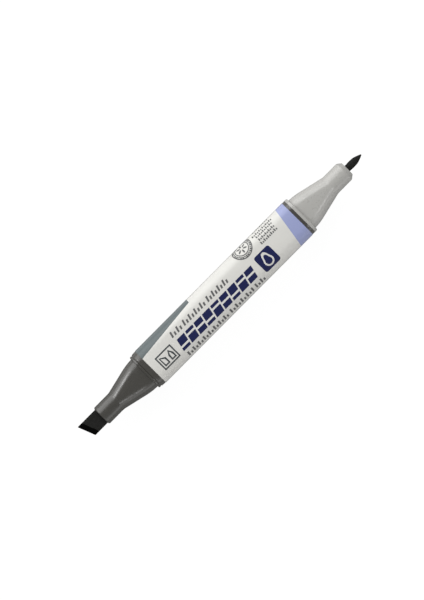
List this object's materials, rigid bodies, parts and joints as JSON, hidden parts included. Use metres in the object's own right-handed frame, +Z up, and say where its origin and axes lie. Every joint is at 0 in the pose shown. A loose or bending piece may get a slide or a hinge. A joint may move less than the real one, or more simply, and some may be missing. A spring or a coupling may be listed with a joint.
{
  "type": "felt tip marker",
  "caption": "Twin-tip alcohol marker with its caps off: chisel nib in a dark nose, fine nib in a light nose, film-wrapped rounded-square barrel.",
  "frame": {"origin": "on the barrel's bottom flat, at the middle of the overall length and width", "axes": "+X along the marker from the chisel nib to the fine nib, +Y across it towards the longer corner of the chisel nib, +Z up through the printed face"},
  "size_m": [0.1417, 0.016, 0.016],
  "materials": {
    "dark_plastic": "satin moulded polypropylene, dark grey",
    "light_plastic": "satin moulded polypropylene, light warm grey",
    "printed_film": "smooth white printed film with a soft gloss",
    "inked_felt": "pressed polyester felt soaked in near-black ink",
    "inked_fibre": "bundled polyester fibre soaked in ink",
    "clear_wrap": "thin glossy film tube",
    "sleeve_plastic": "natural moulded polypropylene"
  },
  "bodies": {
    "body": {"barrel": "dark_plastic", "label_film": "printed_film", "chisel_nose": "dark_plastic", "fine_nose": "light_plastic", "ink_reservoir": "inked_fibre", "reservoir_wrap": "clear_wrap", "chisel_nib_sleeve": "sleeve_plastic", "fine_nib_sleeve": "sleeve_plastic"},
    "chisel_nib_body": {"chisel_nib": "inked_felt"},
    "fine_nib_body": {"fine_nib": "inked_felt"}
  },
  "joints": [
    {"name": "chisel_nib_pull", "type": "slide", "parent": "body", "child": "chisel_nib_body", "axis": [-1, 0, 0], "range_m": [0, 0.032]},
    {"name": "fine_nib_pull", "type": "slide", "parent": "body", "child": "fine_nib_body", "axis": [1, 0, 0], "range_m": [0, 0.033]}
  ]
}
